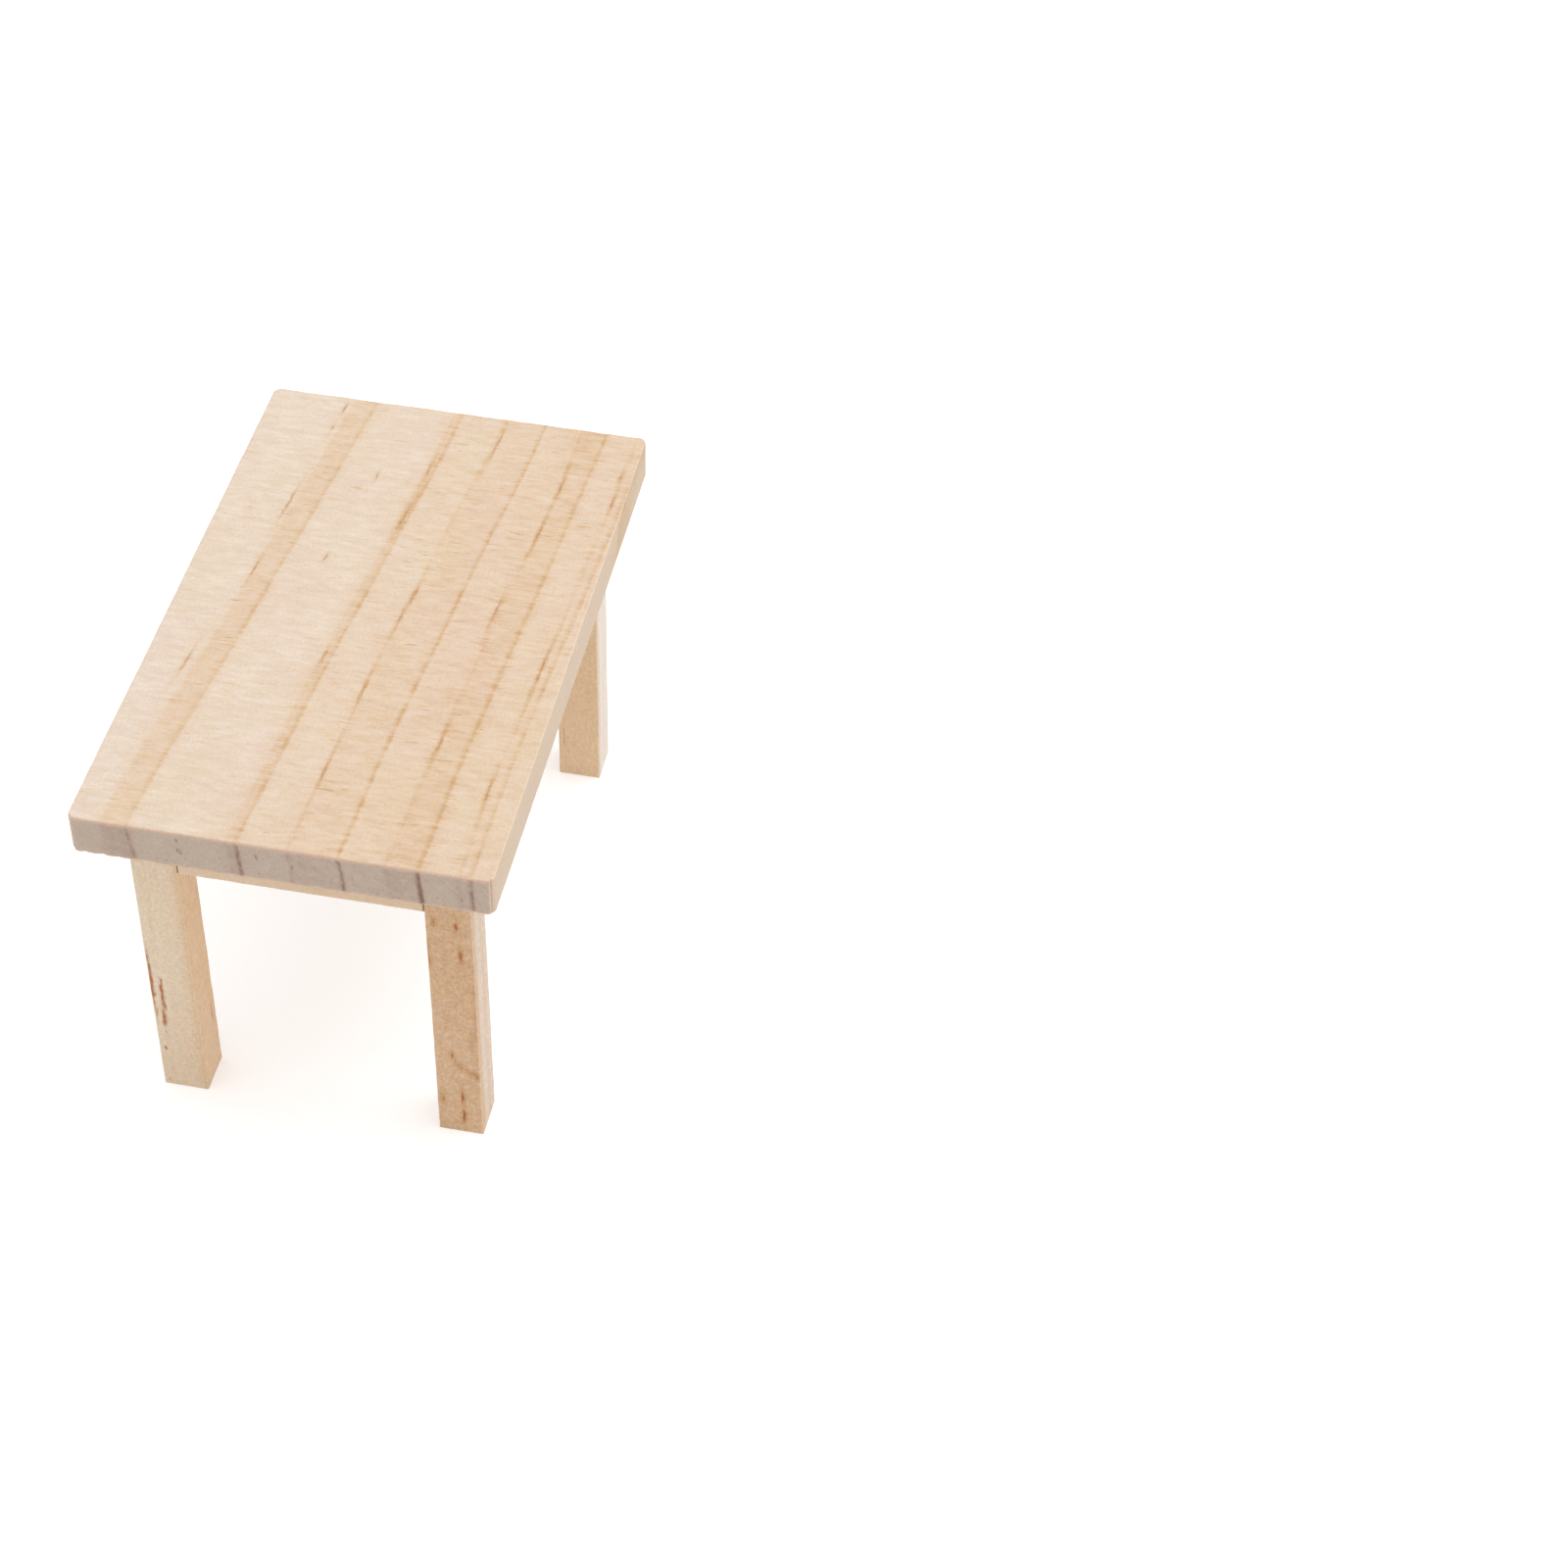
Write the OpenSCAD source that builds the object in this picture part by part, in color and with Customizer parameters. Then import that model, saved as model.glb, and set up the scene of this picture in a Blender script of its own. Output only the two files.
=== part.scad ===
// Dolls house dining table at 1:12 scale, glued up from solid pine stick and board.
// Origin: on the floor, below the middle of the tabletop. +X runs along the length, +Z is up.

/* [Tabletop] */
// Length of the tabletop, along the grain
top_length = 90; // [70:1:120]
// Width of the tabletop, across the grain
top_width = 55; // [45:1:80]
// Thickness of the board
top_thickness = 6.2; // [4:0.1:8]
// Radius of the board's corners, seen from above
corner_radius = 1.2; // [0.6:0.1:3]
// Radius sanded onto the board's long and short edges
board_easing = 0.4; // [0.2:0.05:0.6]

/* [Legs] */
// Height of the table from the floor to the top face
table_height = 57; // [45:1:75]
// Side of the square leg
leg_side = 6.3; // [5:0.1:8]
// How far the tabletop stands out past the legs at each end
end_overhang = 6.1; // [2:0.1:10]
// How far the tabletop stands out past the legs along each side
side_overhang = 4.8; // [2:0.1:8]

/* [Aprons] */
// Depth of the aprons, below the tabletop
apron_depth = 8; // [5:0.1:12]
// Thickness of the aprons, measured in from the outer faces of the legs
apron_thickness = 6.3; // [4:0.1:8]

/* [Joints] */
// Thickness of the glue film in each butt joint
glue_film = 0.15; // [0.05:0.05:0.3]
// How far the glue film stops short of the outer faces of the wood
glue_setback = 0.3; // [0.1:0.05:0.6]
// Radius sanded onto the long edges of the legs and the aprons
stick_easing = 0.25; // [0.1:0.05:0.5]

/* [Hidden] */
$fn = 48;

// Names for the four directions: left is -X, right is +X, front is -Y and back is +Y
LEFT = -1;
RIGHT = 1;
FRONT = -1;
BACK = 1;

// Faces of the leg frame, measured from the middle of the table
frame_end_x = top_length / 2 - end_overhang;
frame_side_y = top_width / 2 - side_overhang;
leg_inner_x = frame_end_x - leg_side;
leg_inner_y = frame_side_y - leg_side;

// Heights, measured from the floor
board_underside_z = table_height - top_thickness;
wood_top_z = board_underside_z - glue_film;
apron_bottom_z = board_underside_z - apron_depth;

// Cut lengths of the aprons, which fit between the legs with a glue film at each end
long_apron_length = 2 * (leg_inner_x - glue_film);
end_apron_length = 2 * (leg_inner_y - glue_film);
apron_height = wood_top_z - apron_bottom_z;

pine_board = [0.90, 0.79, 0.66];
pine_leg = [0.87, 0.75, 0.60];
pine_apron = [0.84, 0.70, 0.55];
dried_glue = [0.45, 0.29, 0.16];

// A rectangle with round corners, centred on the origin
module round_rectangle(width, height, radius) {
    square([width - 2 * radius, height], center = true);
    square([width, height - 2 * radius], center = true);
    for (side_x = [-1, 1], side_y = [-1, 1])
        translate([side_x * (width / 2 - radius), side_y * (height / 2 - radius)])
            circle(r = radius);
}

// A piece of square-cut stick standing on its end, with its four long edges eased
module upright_stick(width, depth, length, radius) {
    linear_extrude(height = length)
        round_rectangle(width, depth, radius);
}

// The board: a plan with round corners, cut by a side profile and an end profile that ease its edges
module eased_board(length, width, thickness) {
    reach = length + width;
    intersection() {
        linear_extrude(height = thickness, center = true)
            round_rectangle(length, width, corner_radius);
        rotate([90, 0, 0])
            linear_extrude(height = reach, center = true)
                round_rectangle(length, thickness, board_easing);
        rotate([90, 0, 90])
            linear_extrude(height = reach, center = true)
                round_rectangle(width, thickness, board_easing);
    }
}

module tabletop() {
    color(pine_board)
        translate([0, 0, table_height - top_thickness / 2])
            eased_board(top_length, top_width, top_thickness);
}

// One leg, from the floor to the glue film under the board
module leg(side_x, side_y) {
    color(pine_leg)
        translate([side_x * (frame_end_x - leg_side / 2), side_y * (frame_side_y - leg_side / 2), 0])
            upright_stick(leg_side, leg_side, wood_top_z, stick_easing);
}

// An apron along the length of the table, between the two legs on one side
module long_apron(side_y) {
    color(pine_apron)
        translate([-long_apron_length / 2, side_y * (frame_side_y - apron_thickness / 2),
                   (apron_bottom_z + wood_top_z) / 2])
            rotate([90, 0, 90])
                upright_stick(apron_thickness, apron_height, long_apron_length, stick_easing);
}

// An apron across one end of the table, between the two legs at that end
module end_apron(side_x) {
    color(pine_apron)
        translate([side_x * (frame_end_x - apron_thickness / 2), end_apron_length / 2,
                   (apron_bottom_z + wood_top_z) / 2])
            rotate([90, 0, 0])
                upright_stick(apron_thickness, apron_height, end_apron_length, stick_easing);
}

// A film of glue, given by its middle and its size
module film(middle, size) {
    translate(middle)
        cube(size, center = true);
}

// Glue between the tabletop and what holds it up: a square on each leg and a strip on each apron
module glue_under_top() {
    film_z = board_underside_z - glue_film / 2;
    leg_pad = leg_side - 2 * glue_setback;
    strip_width = apron_thickness - 2 * glue_setback;
    color(dried_glue) {
        for (side_x = [LEFT, RIGHT], side_y = [FRONT, BACK])
            film([side_x * (frame_end_x - leg_side / 2), side_y * (frame_side_y - leg_side / 2), film_z],
                 [leg_pad, leg_pad, glue_film]);
        for (side_y = [FRONT, BACK])
            film([0, side_y * (frame_side_y - apron_thickness / 2), film_z],
                 [long_apron_length - 2 * glue_setback, strip_width, glue_film]);
        for (side_x = [LEFT, RIGHT])
            film([side_x * (frame_end_x - apron_thickness / 2), 0, film_z],
                 [strip_width, end_apron_length - 2 * glue_setback, glue_film]);
    }
}

// Glue between the ends of the aprons and the inner faces of the legs
module glue_apron_ends() {
    film_z = (apron_bottom_z + wood_top_z) / 2;
    film_width = min(apron_thickness, leg_side) - 2 * glue_setback;
    film_height = apron_height - 2 * glue_setback;
    film_inset = glue_setback + film_width / 2;
    color(dried_glue)
        for (side_x = [LEFT, RIGHT], side_y = [FRONT, BACK]) {
            film([side_x * (leg_inner_x - glue_film / 2), side_y * (frame_side_y - film_inset), film_z],
                 [glue_film, film_width, film_height]);
            film([side_x * (frame_end_x - film_inset), side_y * (leg_inner_y - glue_film / 2), film_z],
                 [film_width, glue_film, film_height]);
        }
}

tabletop();
leg(LEFT, FRONT);  // leg_front_left
leg(RIGHT, FRONT);  // leg_front_right
leg(LEFT, BACK);  // leg_back_left
leg(RIGHT, BACK);  // leg_back_right
long_apron(FRONT);  // long_apron_front
long_apron(BACK);  // long_apron_back
end_apron(LEFT);  // end_apron_left
end_apron(RIGHT);  // end_apron_right
glue_under_top();
glue_apron_ends();
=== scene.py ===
"""Looks for a bare pine dolls house table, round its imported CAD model. Lengths named _MM are millimetres."""

import math
from typing import NamedTuple

import bpy
import numpy as np
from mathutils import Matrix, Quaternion, Vector, noise


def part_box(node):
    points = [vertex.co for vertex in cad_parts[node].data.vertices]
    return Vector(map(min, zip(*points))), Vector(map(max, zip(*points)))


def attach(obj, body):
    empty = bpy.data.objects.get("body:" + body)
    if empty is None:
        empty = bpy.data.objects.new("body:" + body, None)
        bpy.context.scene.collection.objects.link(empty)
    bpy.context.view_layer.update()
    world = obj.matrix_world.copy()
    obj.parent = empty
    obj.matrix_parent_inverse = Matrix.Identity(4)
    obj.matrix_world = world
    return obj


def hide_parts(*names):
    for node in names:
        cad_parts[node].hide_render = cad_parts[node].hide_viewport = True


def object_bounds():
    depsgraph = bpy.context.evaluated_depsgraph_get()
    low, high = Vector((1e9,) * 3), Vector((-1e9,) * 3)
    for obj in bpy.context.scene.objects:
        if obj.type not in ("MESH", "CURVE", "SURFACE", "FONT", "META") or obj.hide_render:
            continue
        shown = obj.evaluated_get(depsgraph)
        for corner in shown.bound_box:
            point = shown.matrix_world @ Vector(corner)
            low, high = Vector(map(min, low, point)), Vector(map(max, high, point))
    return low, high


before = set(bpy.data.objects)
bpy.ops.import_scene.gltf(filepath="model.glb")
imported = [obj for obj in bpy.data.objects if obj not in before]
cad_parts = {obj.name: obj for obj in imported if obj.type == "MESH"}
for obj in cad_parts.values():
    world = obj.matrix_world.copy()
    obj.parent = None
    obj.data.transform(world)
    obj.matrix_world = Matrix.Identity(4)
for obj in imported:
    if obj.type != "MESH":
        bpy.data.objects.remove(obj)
cad_low, cad_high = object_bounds()

MM = 0.001
BODY = "root"
X, Y, Z = 0, 1, 2


# ---------------------------------------------------------------- camera, floor and light

CAMERA_AZIMUTH = -81.1  # degrees; the camera looks at the left end of the table
CAMERA_ELEVATION = 44.3  # degrees above the floor
CAMERA_ROLL = 2.24  # degrees
CAMERA_LENS_MM = 74.7
CAMERA_SENSOR_MM = 36.0  # width of the sensor
CAMERA_DISTANCE_MM = 496.2
CAMERA_AIM_MM = (37.3, -50.4, 0.0)  # the point on the floor in the middle of the picture


def add_camera():
    """A camera that looks down on the table from beyond its left end."""
    azimuth, elevation = math.radians(CAMERA_AZIMUTH), math.radians(CAMERA_ELEVATION)
    back = Vector((
        math.sin(azimuth) * math.cos(elevation),
        -math.cos(azimuth) * math.cos(elevation),
        math.sin(elevation),
    ))
    camera = bpy.data.objects.new("camera", bpy.data.cameras.new("camera"))
    camera.data.lens = CAMERA_LENS_MM
    camera.data.sensor_width = CAMERA_SENSOR_MM
    camera.data.clip_start = 0.01
    camera.location = Vector(CAMERA_AIM_MM) * MM + back * CAMERA_DISTANCE_MM * MM
    camera.rotation_mode = "QUATERNION"
    roll = Quaternion((0.0, 0.0, 1.0), math.radians(CAMERA_ROLL))
    camera.rotation_quaternion = (-back).to_track_quat("-Z", "Y") @ roll
    bpy.context.scene.collection.objects.link(camera)
    bpy.context.scene.camera = camera


def add_area_light(name, place, size, watts, colour):
    """A square soft light that faces the middle of the table."""
    light = bpy.data.objects.new(name, bpy.data.lights.new(name, "AREA"))
    light.data.size = size
    light.data.energy = watts
    light.data.color = colour
    middle = (cad_low + cad_high) / 2
    light.location = Vector(place)
    light.rotation_mode = "QUATERNION"
    light.rotation_quaternion = (middle - light.location).to_track_quat("-Z", "Y")
    bpy.context.scene.collection.objects.link(light)


def add_stage():
    """A white floor, an even white sky as in a light tent, and two soft lights above it."""
    half = 3.0  # metres, far more than the camera sees
    mesh = bpy.data.meshes.new("floor")
    corners = [(-half, -half, 0), (half, -half, 0), (half, half, 0), (-half, half, 0)]
    mesh.from_pydata(corners, [], [(0, 1, 2, 3)])
    floor = bpy.data.objects.new("floor", mesh)
    material = bpy.data.materials.new("floor_paper")
    material.use_nodes = True
    shader = material.node_tree.nodes["Principled BSDF"]
    shader.inputs["Base Color"].default_value = (0.78, 0.78, 0.78, 1.0)
    shader.inputs["Roughness"].default_value = 0.9
    shader.inputs["Specular IOR Level"].default_value = 0.1
    shader.inputs["Emission Color"].default_value = (1.0, 1.0, 1.0, 1.0)
    shader.inputs["Emission Strength"].default_value = 0.36
    mesh.materials.append(material)
    bpy.context.scene.collection.objects.link(floor)

    world = bpy.data.worlds.new("tent")
    world.use_nodes = True
    sky = world.node_tree.nodes["Background"]
    sky.inputs["Color"].default_value = (1.0, 1.0, 1.0, 1.0)
    sky.inputs["Strength"].default_value = 0.95
    bpy.context.scene.world = world

    add_area_light("key", place=(0.15, -0.30, 0.88), size=0.5, watts=3.0, colour=(1.0, 0.99, 0.98))
    add_area_light("top", place=(-0.15, 0.10, 0.90), size=0.6, watts=0.8, colour=(1.0, 1.0, 1.0))
    bpy.context.scene.view_settings.view_transform = "Standard"


# ---------------------------------------------------------------- meshes

def grid_lines(half, edge, edge_steps, spacing):
    """Places of the grid lines across one side of a box: close together within edge of each end."""
    close = np.array([edge * (i / edge_steps) ** 1.4 for i in range(edge_steps)])
    count = max(2, round(2 * (half - edge) / spacing) + 1)
    open_lines = np.linspace(-(half - edge), half - edge, count)
    return np.concatenate([-half + close, open_lines, (half - close)[::-1]])


def box_surface(lines):
    """Points and faces of a closed box with grid lines at the given places along X, Y and Z."""
    shell = np.ones([len(line) for line in lines], bool)
    shell[1:-1, 1:-1, 1:-1] = False
    index = np.full(shell.shape, -1)
    index[shell] = np.arange(shell.sum())
    points = np.stack([line[at] for line, at in zip(lines, np.nonzero(shell))], axis=1)
    faces = []
    for axis in (X, Y, Z):
        for side in (0, -1):
            sheet = np.take(index, side, axis)
            corners = (sheet[:-1, :-1], sheet[1:, :-1], sheet[1:, 1:], sheet[:-1, 1:])
            quads = np.stack(corners, axis=-1).reshape(-1, 4)
            faces_out = (side == -1) != (axis == Y)
            faces.append(quads if faces_out else quads[:, ::-1])
    return points, np.concatenate(faces)


def wander(points, size, seed):
    """Smooth noise from -1 to 1 at each point, with lumps about size across."""
    shift = Vector((seed * 7.31, seed * 3.17, seed * 5.73))
    return np.array([noise.noise(Vector(point) / size + shift) for point in points])


def ease_edges(points, half, radius):
    """Rounds every edge of the box. radius has one value for each point."""
    reach = half - radius[:, None]
    core = np.clip(points, -reach, reach)
    out = points - core
    return core + radius[:, None] * out / np.linalg.norm(out, axis=1, keepdims=True)


def round_corners(points, half, radius):
    """Rounds the box's upright corners, seen from above."""
    inner = half[:2] - radius
    beyond = np.maximum(np.abs(points[:, :2]) - inner, 0)
    at_corner = (beyond > 0).all(axis=1)
    beyond = beyond[at_corner]
    scale = beyond.max(axis=1) / np.linalg.norm(beyond, axis=1)
    points[at_corner, :2] = np.sign(points[at_corner, :2]) * (inner + beyond * scale[:, None])
    return points


def mesh_piece(name, node, points, faces, material):
    """Makes the object, in place of one CAD node. The points are millimetres in the row frame."""
    mesh = bpy.data.meshes.new(name)
    mesh.from_pydata((points * MM).tolist(), [], faces.tolist())
    mesh.shade_smooth()
    mesh.materials.append(material)
    piece = bpy.data.objects.new(name, mesh)
    bpy.context.scene.collection.objects.link(piece)
    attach(piece, BODY)
    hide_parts(node)
    return piece


def node_box(node):
    """Middle and half size of a CAD node, in millimetres."""
    low, high = (np.array(corner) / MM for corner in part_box(node))
    return (low + high) / 2, (high - low) / 2


BOARD_CORNER_MM = 1.2
BOARD_EASING_MM = 0.4
BOARD_EASING_RANGE_MM = (0.15, 0.75)  # least and most that wear leaves of it
BOARD_EDGE_MM = (1.3, 1.3, 0.8)  # width of the fine grid along the edges, on each axis
BOARD_EDGE_STEPS = (9, 9, 6)
BOARD_SPACING_MM = (0.6, 0.5, 0.4)  # the grid elsewhere
TORN_MM = 0.8  # how far from its lower end edges the saw has torn the board
PLANED_MM = 0.02  # how far the planed top and underside lie inside the box, on average

STICK_EASING_MM = 0.25
STICK_EASING_RANGE_MM = (0.08, 0.45)
STICK_EDGE_MM = 0.5
STICK_EDGE_STEPS = 5
STICK_SPACING_MM = {"along": 1.0, "across": 0.45}
STICK_END_MM = 0.3  # how far from its ends a stick's edges are sharper
STICK_END_EASING = 0.6  # share of the easing that is left there
STICK_DIP_MM = 0.03  # how far the faces of a stick lie inside its box, on average


def board_piece(name, node, material):
    """The tabletop: eased edges, round corners, and ends torn a little along their lower edge by the saw."""
    middle, half = node_box(node)
    lines = [grid_lines(*side) for side in zip(half, BOARD_EDGE_MM, BOARD_EDGE_STEPS, BOARD_SPACING_MM)]
    points, faces = box_surface(lines)
    wear = 0.35 * wander(points, 3.0, 1) + 0.25 * wander(points, 0.9, 2)
    radius = BOARD_EASING_MM * (1 + wear)
    low_end = (half[X] - np.abs(points[:, X]) < TORN_MM) & (points[:, Z] < -half[Z] + TORN_MM)
    torn = np.maximum(wander(points, 0.8, 3) - 0.05, 0) * 0.9
    radius = np.clip(radius + torn * low_end, *BOARD_EASING_RANGE_MM)
    points = ease_edges(points, half, radius)
    points = round_corners(points, half, BOARD_CORNER_MM)
    flat = half[Z] - np.abs(points[:, Z]) < PLANED_MM
    points[:, Z] -= np.sign(points[:, Z]) * flat * PLANED_MM * (1 + wander(points, 9.0, 4))
    piece = mesh_piece(name, node, points + middle, faces, material)


def stick_piece(wood, material):
    """A leg or an apron: a planed stick with long edges lightly eased and sawn ends."""
    middle, half = node_box(wood.node)
    grain, seed = wood.grain, wood.seed
    spacing = [STICK_SPACING_MM["along" if axis == grain else "across"] for axis in (X, Y, Z)]
    lines = [grid_lines(size, STICK_EDGE_MM, STICK_EDGE_STEPS, gap) for size, gap in zip(half, spacing)]
    points, faces = box_surface(lines)
    wear = 0.4 * wander(points, 2.5, seed) + 0.3 * wander(points, 0.7, seed + 1)
    at_end = half[grain] - np.abs(points[:, grain]) < STICK_END_MM
    easing = np.where(at_end, STICK_END_EASING, 1.0) * STICK_EASING_MM
    radius = np.clip(easing * (1 + wear), *STICK_EASING_RANGE_MM)
    points = ease_edges(points, half, radius)
    across = [axis for axis in (X, Y, Z) if axis != grain]
    for axis in across:
        dip = STICK_DIP_MM * (1 + wander(points, 8.0, seed + 2 + axis))
        face = np.clip(np.abs(points[:, axis]) / half[axis], 0, 1) ** 8
        points[:, axis] -= np.sign(points[:, axis]) * face * dip
    piece = mesh_piece(wood.node + "_stick", wood.node, points + middle, faces, material)


def node_corners(node):
    """Lowest and highest corners of a CAD node, in millimetres."""
    middle, half = node_box(node)
    return middle - half, middle + half


def contact(first, second):
    """The gap between two facing pieces of wood: its middle, its half size and the axis across it."""
    first_low, first_high = node_corners(first)
    second_low, second_high = node_corners(second)
    low, high = np.maximum(first_low, second_low), np.minimum(first_high, second_high)
    return (low + high) / 2, np.abs(high - low) / 2, int(np.argmax(low - high))


GLUE_SETBACK_MM = 0.18  # how far a film stops short of the faces of the wood, on average
GLUE_WANDER_MM = 0.16  # how far its rim wanders from there
GLUE_RIM_MM = 0.3  # width of the rim
GLUE_SWELL = 0.9  # how much thicker the rim is than the film, where it fills the eased edges


def glue_film(middle, half, axis, seed):
    """One film of glue. Its rim wanders in and out, and here and there it is squeezed out a little."""
    inner = half - np.where(np.arange(3) == axis, 0.0, GLUE_SETBACK_MM)
    lines = [
        np.linspace(-size, size, 3) if along == axis else grid_lines(size, GLUE_RIM_MM, 3, 0.3)
        for along, size in enumerate(inner)
    ]
    points, faces = box_surface(lines)
    level = points + middle
    level[:, axis] = middle[axis]
    reach = GLUE_WANDER_MM * (wander(level, 1.6, seed) + 0.6 * wander(level, 0.5, seed + 1))
    swell = GLUE_SWELL * np.clip(0.6 + 0.8 * wander(level, 1.1, seed + 2), 0, 1.4)
    rim = np.clip((np.abs(points) - inner + GLUE_RIM_MM) / GLUE_RIM_MM, 0, 1)
    rim[:, axis] = 0
    points += np.sign(points) * rim * reach[:, None]
    points[:, axis] *= 1 + swell * rim.max(axis=1)
    return points + middle, faces


def glue_piece(node, contacts, material):
    """All the films of one CAD node, as one object."""
    first_seed = 100
    films = [
        glue_film(middle, half, axis, first_seed + number)
        for number, (middle, half, axis) in enumerate(contacts)
    ]
    starts = np.cumsum([0] + [len(points) for points, _ in films[:-1]])
    points = np.concatenate([points for points, _ in films])
    faces = np.concatenate([faces + start for start, (_, faces) in zip(starts, films)])
    piece = mesh_piece(node + "_films", node, points, faces, material)


# ---------------------------------------------------------------- material nodes

NORMAL, OBJECT = 1, 3  # outputs of the Texture Coordinate node


class Tree:
    """A short way to write a material's nodes. Its methods return output sockets, except put."""

    def __init__(self, name):
        self.material = bpy.data.materials.new(name)
        self.material.use_nodes = True
        self.nodes = self.material.node_tree.nodes
        self.links = self.material.node_tree.links
        self.shader = self.nodes["Principled BSDF"]

    def put(self, socket, value):
        if isinstance(value, bpy.types.NodeSocket):
            self.links.new(value, socket)
        else:
            socket.default_value = value

    def add(self, kind, inputs, output=0, **settings):
        node = self.nodes.new(kind)
        for key, value in settings.items():
            setattr(node, key, value)
        for key, value in inputs.items():
            self.put(node.inputs[key], value)
        return node.outputs[output]

    def place(self):
        """Where a point lies in the row frame, in millimetres."""
        place = self.add("ShaderNodeTexCoord", {}, output=OBJECT)
        return self.vector("MULTIPLY", place, (1 / MM, 1 / MM, 1 / MM))

    def math(self, operation, first, second=0.0, third=0.0):
        return self.add("ShaderNodeMath", {0: first, 1: second, 2: third}, operation=operation)

    def vector(self, operation, first, second):
        return self.add("ShaderNodeVectorMath", {0: first, 1: second}, operation=operation)

    def join(self, x, y, z):
        return self.add("ShaderNodeCombineXYZ", {0: x, 1: y, 2: z})

    def length(self, vector):
        return self.add("ShaderNodeVectorMath", {0: vector}, output=1, operation="LENGTH")

    def split(self, vector):
        node = self.nodes.new("ShaderNodeSeparateXYZ")
        self.put(node.inputs[0], vector)
        return node.outputs[0], node.outputs[1], node.outputs[2]

    def sum(self, start, parts):
        """start plus every (socket, amount) of parts, multiplied together."""
        total = start
        for part, amount in parts:
            total = self.math("MULTIPLY_ADD", part, amount, total)
        return total

    def noise(self, place, size, detail=2.0, rough=0.5, seed=0.0):
        """Noise from about -1 to 1, with lumps size = (x, y, z) millimetres across."""
        scaled = self.vector("MULTIPLY", place, [1 / side for side in size])
        moved = self.vector("ADD", scaled, (seed * 1.7, seed * 2.3, seed * 3.1))
        inputs = {"Vector": moved, "Scale": 1.0, "Detail": detail, "Roughness": rough}
        value = self.add("ShaderNodeTexNoise", inputs)
        return self.math("MULTIPLY_ADD", value, 4.0, -2.0)

    def cells(self, place, size, seed):
        """Offset in millimetres from the nearest of some scattered points, and two chances drawn for it."""
        scaled = self.vector("MULTIPLY", place, [1 / side for side in size])
        moved = self.vector("ADD", scaled, (seed * 0.37, seed * 0.73, seed * 0.11))
        node = self.nodes.new("ShaderNodeTexVoronoi")
        self.put(node.inputs["Vector"], moved)
        node.inputs["Scale"].default_value = 1.0
        offset = self.vector("SUBTRACT", moved, node.outputs["Position"])
        first, second, _ = self.split(node.outputs["Color"])
        return self.vector("MULTIPLY", offset, size), first, second

    def step(self, value, low, high):
        """0 before low and 1 beyond high, smooth between them."""
        inputs = {"Value": value, "From Min": low, "From Max": high}
        return self.add("ShaderNodeMapRange", inputs, interpolation_type="SMOOTHSTEP")

    def mix(self, factor, below, above, blend="MIX"):
        """below and above are colours, and sit in the sockets that a Mix node keeps for colours."""
        node = self.nodes.new("ShaderNodeMix")
        node.data_type = "RGBA"
        node.blend_type = blend
        self.put(node.inputs[0], factor)
        self.put(node.inputs[6], below)
        self.put(node.inputs[7], above)
        return node.outputs[2]

    def ramp(self, factor, stops):
        """stops are (place, colour) in rising order."""
        node = self.nodes.new("ShaderNodeValToRGB")
        ramp = node.color_ramp
        while len(ramp.elements) < len(stops):
            ramp.elements.new(1.0)
        for element, (place, colour) in zip(ramp.elements, stops):
            element.position = place
            element.color = colour
        self.put(node.inputs[0], factor)
        return node.outputs[0]


def rgb(red, green, blue):
    return (red, green, blue, 1.0)


def grey(value):
    return rgb(value, value, value)


# ---------------------------------------------------------------- pine

class Ring(NamedTuple):
    """One growth ring of a piece of wood. Lengths are millimetres, and tan runs from 0, pale, to 1, dark."""

    line: float  # place of its dark outer edge, measured from the inner side of the piece
    band: float  # width of the tan latewood before that edge
    base: float  # tan of the earlywood
    tan: float  # tan of the latewood
    edge: float  # tan that the outer edge adds
    inner: float = 0.0  # tan that the inner edge of the latewood adds
    sawn: float = 0.35  # tan that the outer edge adds in the end grain


class Streak(NamedTuple):
    """A resin canal laid open by the plane, or a mark of that shape. Lengths are millimetres."""

    along: float  # place along the grain, from the middle of the piece
    ring: float  # distance from the inner side of the piece, measured as for rings
    side: float  # place on the third axis, from the middle of the piece
    length: float
    turned: bool = False  # whether its two widths are swapped, for a face that looks along the growth


AS_IT_IS = (1.0, 1.0, 1.0)  # the tint that changes nothing


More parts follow.
